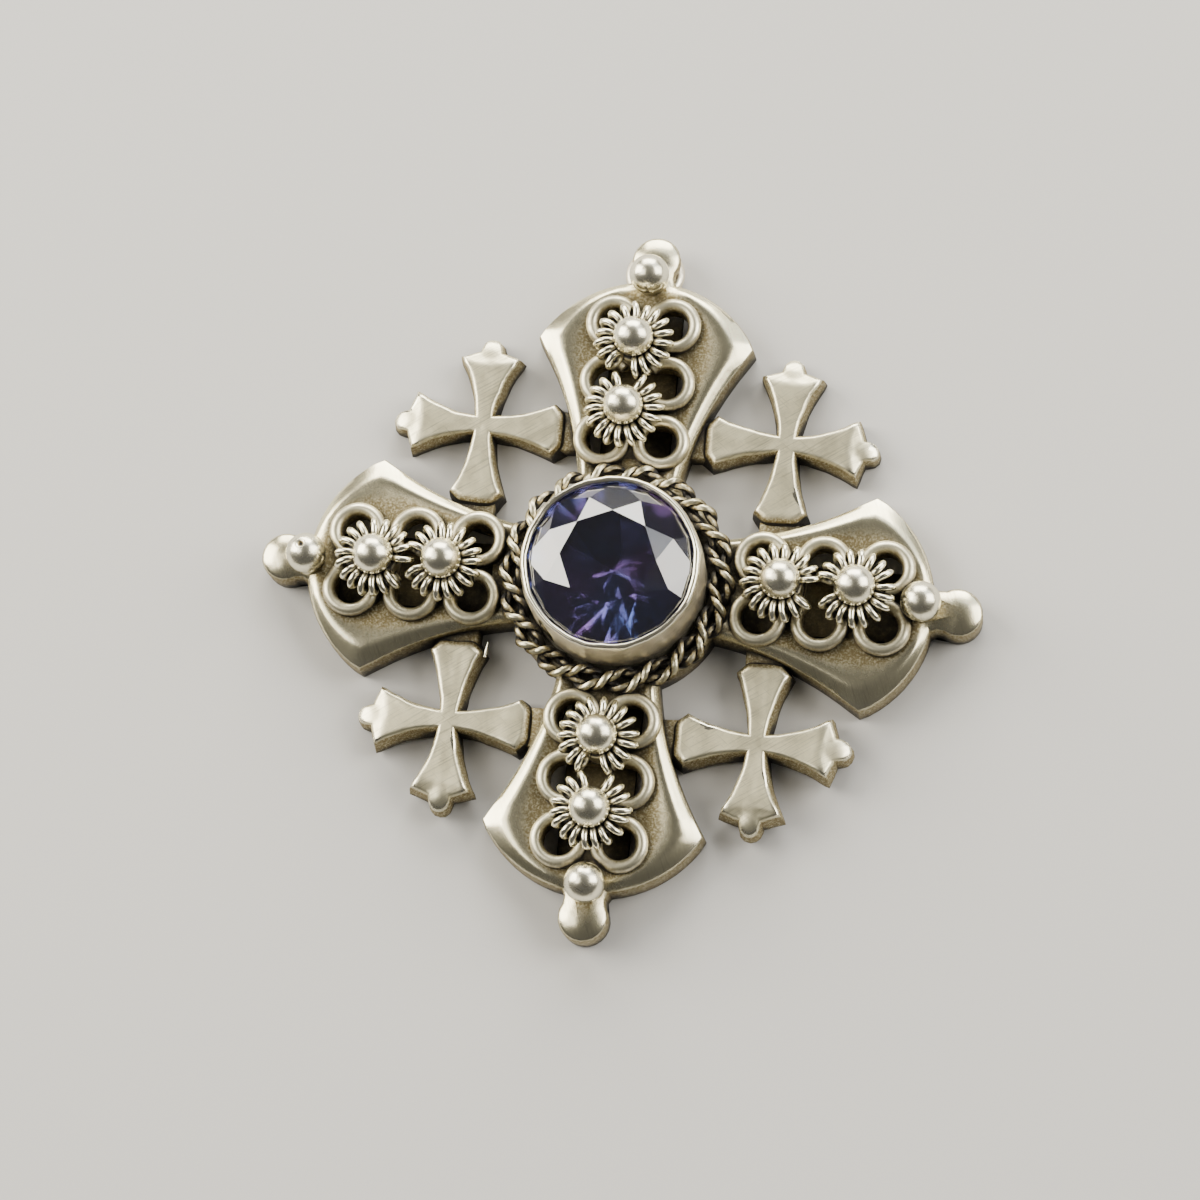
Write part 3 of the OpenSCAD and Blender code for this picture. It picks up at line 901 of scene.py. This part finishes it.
for vertex in small_cross.data.vertices:
    if min(vertex.co.x, vertex.co.y) < tab_high + 0.02 and paint[vertex.index].value == 0:
        paint[vertex.index].value = tab_soil


# %% Place the four corner crosses
noise.seed_set(1)        # without a seed, noise_vector follows the clock and differs in every run


def unevened(piece, seed, shift, lift):
    """Moves the vertices a little by a smooth noise, as casting and filing by hand leave them."""
    for vertex in piece.data.vertices:
        push = noise.noise_vector(vertex.co * 0.8 + Vector((seed, seed, 0)))
        finer = noise.noise_vector(vertex.co * 2.6 + Vector((seed, 0, seed)))
        high = min(1, vertex.co.z)
        vertex.co += Vector((push.x * shift + finer.x * shift * 0.5, push.y * shift + finer.y * shift * 0.5,
                             (push.z * lift + finer.z * lift * 0.3) * high))


# how each was soldered a little out of level: degrees about X and about Y, then how far that lifts it
corner_lean = {
    "corner_cross_top_right": (-0.3, -0.2, 0.04), "corner_cross_bottom_right": (-2.8, -2.8, 0.36),
    "corner_cross_bottom_left": (-2.6, -0.8, 0.28), "corner_cross_top_left": (0.6, 0.3, 0.06),
}
for quarter, (name, (about_x, about_y, lift)) in enumerate(corner_lean.items()):
    corner = copy_of(small_cross, name)
    unevened(corner, 3.7 * quarter + 1, shift=0.06, lift=0.035)
    place(corner, at=(small_c, small_c, 0))
    place(corner, turn=-90 * quarter)
    x, y = (small_c if quarter < 2 else -small_c), (small_c if quarter in (0, 3) else -small_c)
    middle = Matrix.Translation((x, y, lift))
    lean = rotation(about_x, "X") @ rotation(about_y, "Y")
    settle(corner, middle @ lean @ middle.inverted() @ Matrix.Translation((0, 0, lift)))
    if name == "corner_cross_bottom_left":
        burr = added("burr", bpy.ops.mesh.primitive_cone_add, vertices=10, radius1=0.13, radius2=0.03, depth=0.9,
                     location=(-7.42, -4.62, 1.5), rotation=(math.radians(-78), 0, math.radians(-8)))
        corner = joined([corner, burr], name)
    finish_piece(corner, corner_silver, smooth=40)
bpy.data.objects.remove(small_cross)

# %% [markdown]
# ## Wire loops
#
# Three pairs of C-shaped loops stand round the windows of each arm, open towards its middle line. The
# wire is drawn half round and rubbed flat on top. Its section is a circle squashed flat above, which is
# spun round the loop's middle by the turn that the C needs, so both of its ends are closed. Only the
# middle pair shows its opening, between the two rosettes. The others almost close under the rosettes.

# %% One wire loop
loop_h, loop_foot = 0.8, 0.1        # how high a loop stands, and how far it goes down into the field
loop_gap = 0.75
nearly_shut = math.radians(3)
wide_open = math.acos((loop_row - loop_gap) / (loop_r - loop_wire / 2))


def wire_loop(name, open_angle):
    """A C of flattened wire round the middle, open towards -X by twice an angle, standing on z = 0."""
    made = added(name, bpy.ops.mesh.primitive_circle_add, vertices=24, radius=0.5, fill_type="NGON")
    for vertex in made.data.vertices:
        across, high = vertex.co.x, vertex.co.y
        squared = math.copysign(abs(2 * high) ** 0.92 / 2, high)
        x = loop_r - loop_wire / 2 + across * loop_wire
        vertex.co = (x, 0, (squared + 0.5) * (loop_h + loop_foot) - loop_foot)
    settle(made, Matrix.Rotation(math.pi - open_angle, 4, "Z"))
    with editing(made):
        bpy.ops.mesh.spin(steps=40, angle=2 * (math.pi - open_angle), center=(0, 0, 0), axis=(0, 0, 1))
    return made


pairs = [wire_loop("loop", angle) for angle in (nearly_shut, wide_open, nearly_shut)]
print("the middle loops are open by", round(math.degrees(2 * wide_open)), "degrees")
arm_names = ["top", "right", "bottom", "left"]
for quarter, arm_name in enumerate(arm_names):
    loops = []
    for loop, s in zip(pairs, loop_places):
        for side in (0, 180):
            one = copy_of(loop, "loop")
            place(one, turn=side)
            on_arm(one, quarter, at=(loop_row if side == 0 else -loop_row, s, field_z))
            loops.append(one)
    finish_piece(joined(loops, "wire_loops_" + arm_name), wire_silver, smooth=60)
for loop in pairs:
    bpy.data.objects.remove(loop)

# %% [markdown]
# ## Rosettes
#
# A rosette is a thin wire wound into a tight coil, and the coil is closed into a ring round a polished
# ball. From above its turns look like petals. Each turn is modelled as a small torus standing on edge,
# leaning a little as the turns of a coil do. Seventeen of them go round, none quite like the next, and
# the coil doesn't quite close, so each rosette has a gap.

# %% One turn of wire
rosette_turns = 17
rosette_places = [10.0, 14.2]
rosette_z = 4.1
turn_pitch = 19.4
turn_wire = 0.2
turn_mid = 1.66
ball_r = 1.19
ball_z = 4.9
post_r = 1.25
shake = random.Random(7)


def coil_turn(angle):
    """One turn of the coil, at an angle round the rosette in degrees."""
    made = added("turn", bpy.ops.mesh.primitive_torus_add, major_segments=18, minor_segments=8, major_radius=0.35,
                 minor_radius=turn_wire)
    stretch = Matrix.Diagonal((1.4 + shake.uniform(-0.06, 0.06), 1.03, 1, 1))
    lean = rotation(17 + shake.uniform(-5, 5), "X")
    skew = rotation(shake.uniform(-4, 4), "Z")
    out = Matrix.Translation((turn_mid + shake.uniform(-0.03, 0.03), 0, rosette_z + shake.uniform(-0.03, 0.03)))
    around = rotation(angle + shake.uniform(-1.5, 1.5), "Z")
    settle(made, around @ out @ skew @ lean @ rotation(90, "X") @ stretch)
    return made


# %% Wind a ring of turns
def rosette_ring():
    """All the turns of one rosette, round the middle. The coil's two ends leave a gap along +X."""
    first = 180 - turn_pitch * (rosette_turns - 1) / 2
    turns = [coil_turn(first + turn_pitch * k + shake.uniform(-1, 1)) for k in range(rosette_turns)]
    return joined(turns, "rosette")


def post():
    """The round post that carries a rosette, with its edges bevelled."""
    bottom, top = field_z - 0.1, rosette_z - 0.15
    made = added("post", bpy.ops.mesh.primitive_cylinder_add, vertices=32, radius=post_r, depth=top - bottom,
                 location=(0, 0, (top + bottom) / 2))
    add_modifier(made, "BEVEL", width=0.12, segments=2, limit_method="ANGLE")
    return made


# how far each rosette and ball was soldered off its place, in mm
off_place = {
    "top_inner": (-0.44, 0.0, 0), "top_outer": (-0.25, 0.04, 0), "top_tip": (0.15, 0.2, 0),
    "right_inner": (-0.25, 0.14, 0), "right_outer": (-0.12, 0.1, 0), "right_tip": (-0.5, -0.25, 0),
    "bottom_inner": (0.07, 0.18, 0), "bottom_outer": (0.09, 0.1, 0), "bottom_tip": (0.1, 0.14, 0),
    "left_inner": (-0.18, -0.1, 0), "left_outer": (-0.04, -0.16, 0), "left_tip": (-0.1, -0.07, 0),
}
# which way the gap in each coil points, in degrees from +X: mostly at the other rosette of its arm
gap_at = {
    "top_inner": 88, "top_outer": -105, "right_inner": -14, "right_outer": 188,
    "bottom_inner": -92, "bottom_outer": 88, "left_inner": 184, "left_outer": -22,
}
rings = [rosette_ring() for variant in range(4)]
for quarter, arm_name in enumerate(arm_names):
    for is_outer, (place_name, s) in enumerate(zip(("inner", "outer"), rosette_places)):
        spot_name = f"{arm_name}_{place_name}"
        turns = copy_of(rings[(quarter + is_outer) % 4], "turns")
        place(turns, turn=90 * quarter + gap_at[spot_name])
        rosette = joined([turns, post()], "rosette_" + spot_name)
        on_arm(rosette, quarter, at=(0, s, 0), off=off_place[spot_name])
        finish_piece(rosette, petal_silver, smooth=60)
for ring in rings:
    bpy.data.objects.remove(ring)

# %% [markdown]
# ## Polished balls
#
# Twelve balls of silver, melted from clippings until they drew round. They are the brightest things on
# the pendant. One ball has a small casting pit: the faces round it are divided, and their vertices are
# pushed in, most at the middle, and painted with soil.
#
# The balls of the photograph measure a little wider than the 2.2 mm of the engineering
# model. Here they are 2.38 mm, a compromise between balls that measured differently.

# %% Balls
tip_s, tip_z = 18.4, 3.6
# where the pit is, as a direction from the ball's middle, and then its width and depth
pit_at, pit_width, pit_depth = Vector((-0.145, 0.266, 0.955)).normalized(), 0.34, 0.22


def ball(name, radius, z):
    """A ball over the middle, very slightly flattened as a melted ball is."""
    made = added(name, bpy.ops.mesh.primitive_uv_sphere_add, segments=48, ring_count=24, radius=radius)
    settle(made, Matrix.Translation((0, 0, z)) @ Matrix.Diagonal((1, 1, 0.97, 1)))
    return made


def tip_collar():
    """A low collar that carries the ball at an arm's tip."""
    bottom, top = cross_t - 0.3, tip_z - ball_r * 0.45
    return added("collar", bpy.ops.mesh.primitive_cone_add, vertices=32, radius1=1.0, radius2=0.78,
                 depth=top - bottom, location=(0, 0, (top + bottom) / 2))


def press_pit(piece, middle):
    """Presses a small pit into a ball: the faces round it are divided, and their vertices pushed in."""
    spot = middle + pit_at * ball_r
    pick_faces(piece, lambda face: (face.center - spot).length < pit_width * 2)
    with editing(piece, select=None):
        bpy.ops.mesh.subdivide(number_cuts=4, smoothness=1)
    dirt = piece.data.attributes.new("soil_and_shade", "FLOAT", "POINT")
    for vertex in piece.data.vertices:
        push = math.exp(-(2 * (vertex.co - spot).length / pit_width) ** 2)
        vertex.co -= pit_at * pit_depth * push
        dirt.data[vertex.index].value = 2.2 * push


ball_places = {"inner": (rosette_places[0], ball_z), "outer": (rosette_places[1], ball_z), "tip": (tip_s, tip_z)}
for quarter, arm_name in enumerate(arm_names):
    for place_name, (s, z) in ball_places.items():
        spot_name = f"{arm_name}_{place_name}"
        made = ball("ball_" + spot_name, ball_r, z)
        if place_name == "tip":
            made = joined([made, tip_collar()], "ball_" + spot_name)
        on_arm(made, quarter, at=(0, s, 0), off=off_place[spot_name])
        if spot_name == "left_tip":
            press_pit(made, Vector((-s, 0, z)) + Vector(off_place[spot_name]))
        finish_piece(made, ball_silver, smooth=60)

# %% [markdown]
# ## The stone's cup
#
# The cup is a band of sheet silver soldered upright, with its upper edge pressed in over the stone. Its
# section is drawn once and spun round the pendant's middle.

# %% Cup
cup_gap = 0.04
cup_in = stone_r + cup_gap
cup_out = cup_in + 0.3
lip_in = cup_in - 0.22
seat_r = 4.35
cup_section = [
    (seat_r, cross_t - 0.2), (cup_out + 0.05, cross_t - 0.2), (cup_out, cross_t + 0.3),
    (cup_out - 0.06, rim_z - 0.7), (cup_out - 0.1, rim_z - 0.3), (cup_out - 0.15, rim_z - 0.12),
    (cup_out - 0.23, rim_z - 0.02), (cup_out - 0.31, rim_z), (lip_in + 0.08, rim_z - 0.03),
    (lip_in, rim_z - 0.12), (lip_in, rim_z - 0.2), (cup_in, rim_z - 0.34),
    (cup_in, rim_z - 1.35), (seat_r, rim_z - 1.35),
]
stone_cup = spun("stone_cup", cup_section, 128)
unevened(stone_cup, 5.5, shift=0.07, lift=0.0)
finish_piece(stone_cup, cup_silver, smooth=50)

# %% [markdown]
# ## The braided border
#
# Round the cup run two cords, each twisted from two thin wires. The cords wave in and out in opposite
# step, nine waves each, and pass over and under one another where they cross, which leaves eighteen
# small eyelets. A cord's middle line is a wave on a circle, and each wire is a helix about that line.
# The four wires are curves with a round bevel, turned into meshes.

# %% Twisted wires
waves = 9
rope_mid, rope_swing = 6.2, 0.52
rope_z = cross_t + 0.42
rope_lift = 0.2
ply_r, ply_wire = 0.165, 0.21
twists = 23
steps_round = 720


def cord_point(angle, phase):
    """Middle line of a cord at an angle round the border."""
    wave = waves * angle + phase
    stray = noise.noise(Vector((3 * math.cos(angle), 3 * math.sin(angle), phase)))
    radius = rope_mid + rope_swing * math.cos(wave) + 0.08 * stray
    height = rope_z + rope_lift * math.sin(wave)
    return Vector((radius * math.cos(angle), radius * math.sin(angle), height))


def twisted_wire(name, phase, start):
    """One thin wire, wound round a cord's middle line."""
    curve = bpy.data.curves.new(name, "CURVE")
    curve.dimensions = "3D"
    curve.bevel_depth = ply_wire
    curve.bevel_resolution = 1
    spline = curve.splines.new("POLY")
    spline.points.add(steps_round - 1)
    spline.use_cyclic_u = True
    for k in range(steps_round):
        angle = 2 * math.pi * k / steps_round
        here = cord_point(angle, phase)
        ahead = (cord_point(angle + 0.001, phase) - here).normalized()
        side = ahead.cross(Vector((0, 0, 1))).normalized()
        high = side.cross(ahead)
        twist = twists * angle + start
        spot = here + (side * math.cos(twist) + high * math.sin(twist)) * ply_r
        spline.points[k].co = (*spot, 1)
    made = bpy.data.objects.new(name, curve)
    bpy.context.collection.objects.link(made)
    alone(made)
    bpy.ops.object.convert(target="MESH")
    return new_piece(name)


wires = [twisted_wire("wire", phase, start) for phase in (0, math.pi) for start in (0, math.pi)]
rope_border = joined(wires, "rope_border")
finish_piece(rope_border, rope_silver, smooth=60)

# %% [markdown]
# ## Bail eye and bail ring
#
# A small eye is soldered under the top lobe, and a loose ring hangs in it and lies flat behind the lobe.
# The ring's shape in the frame is already right, so it only gets its silver.

# %% Bail eye
eye_wire, eye_r = 0.42, 0.5
ring_s, ring_mean = 19.57, 1.45
eye_s = ring_s - ring_mean * 0.985
eye_z = eye_wire + 0.04 + eye_r
bail_eye = added("bail_eye", bpy.ops.mesh.primitive_torus_add, major_segments=32, minor_segments=12,
                 major_radius=eye_r + eye_wire / 2, minor_radius=eye_wire / 2, rotation=(0, math.pi / 2, 0),
                 location=(ring_x, eye_s, eye_z))
finish_piece(bail_eye, wire_silver, smooth=60)
bail_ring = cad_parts["bail_ring"]
bail_ring.data.materials.clear()
bail_ring.data.materials.append(cup_silver)

# %% [markdown]
# ## The stone
#
# The stone is a round brilliant, deep violet to almost black. Its facets are exact in the frame, so its
# mesh stays, and only the glass is made here. The colour sits in the glass itself: light that crosses
# the stone twice comes back blue or magenta, and light that crosses it more often is lost.

# %% Stone glass
stone_glass = bpy.data.materials.new("stone_glass")
stone_glass.use_nodes = True
tree = stone_glass.node_tree
shader = tree.nodes["Principled BSDF"]
glass = {"Roughness": 0.12, "IOR": 1.77, "Transmission Weight": 1.0, "Coat Weight": 1.0, "Coat IOR": 1.85,
         "Coat Roughness": 0.015}
for label, value in glass.items():
    feed(tree, value, shader, label)
spot = add_node(tree, "ShaderNodeTexCoord")
cloud = add_node(tree, "ShaderNodeTexNoise", Vector=(spot, "Object"), Scale=260.0, Detail=1.0)
blend = ramp(tree, (cloud, "Fac"), 0.42, 0.6)
hue = mixed(tree, blend, (0.055, 0.08, 0.25, 1), (0.095, 0.045, 0.15, 1))
feed(tree, hue, shader, "Base Color")
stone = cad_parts["stone"]
stone.data.materials.clear()
stone.data.materials.append(stone_glass)

# %% [markdown]
# ## Floor and light
#
# The pendant lies on a plain pale floor. Polished silver shows the studio more than itself, so the
# lights are wide softboxes, placed by what each surface mirrors. The flat faces look almost straight up
# and are kept in a dim part of the room. The bevels lean by 20 to 28 degrees, so they catch three lower
# windows, behind, left and right, which also make the highlights on the balls and on the stone's crown.
# Two weaker boxes fill in: a cool wall far behind, and a warm one high on the left.

# %% Floor
floor = added("floor", bpy.ops.mesh.primitive_plane_add, size=2.0, location=(0, 0, 0))
pale = bpy.data.materials.new("pale_floor")
pale.use_nodes = True
pale_shader = pale.node_tree.nodes["Principled BSDF"]
pale_shader.inputs["Base Color"].default_value = (0.62, 0.61, 0.59, 1)
pale_shader.inputs["Roughness"].default_value = 0.9
floor.data.materials.append(pale)


# %% Lights
def softbox(name, place_m, size, power, colour):
    """A rectangular area light that faces the pendant."""
    bpy.ops.object.select_all(action="DESELECT")
    bpy.ops.object.light_add(type="AREA", location=place_m)
    light = bpy.context.object
    light.name = name
    light.data.shape = "RECTANGLE"
    light.data.size, light.data.size_y = size
    light.data.energy = power
    light.data.color = colour
    light.rotation_euler = (-Vector(place_m)).to_track_quat("-Z", "Y").to_euler()
    return light


softbox("window_behind", (-0.04, 0.47, 0.21), (0.48, 0.28), 4.4, (1.0, 0.96, 0.86))
softbox("wall_behind", (0.25, 0.62, 0.48), (0.8, 0.5), 2.0, (0.92, 0.96, 1.0))
softbox("window_left", (-0.43, 0.13, 0.25), (0.34, 0.36), 4.1, (1.0, 0.95, 0.84))
softbox("window_right", (0.42, 0.14, 0.28), (0.34, 0.38), 3.1, (1.0, 0.96, 0.88))
softbox("high_left", (-0.36, 0.0, 0.56), (0.34, 0.3), 1.2, (1.0, 0.96, 0.87))
world = bpy.data.worlds.new("studio")
bpy.context.scene.world = world
world.use_nodes = True
world.node_tree.nodes["Background"].inputs["Color"].default_value = (0.74, 0.73, 0.72, 1)
world.node_tree.nodes["Background"].inputs["Strength"].default_value = 0.14

# %% [markdown]
# ## The pieces made
#
# The number of finished pieces is printed.

# %% Pieces made
print("pieces made:", len(finished))
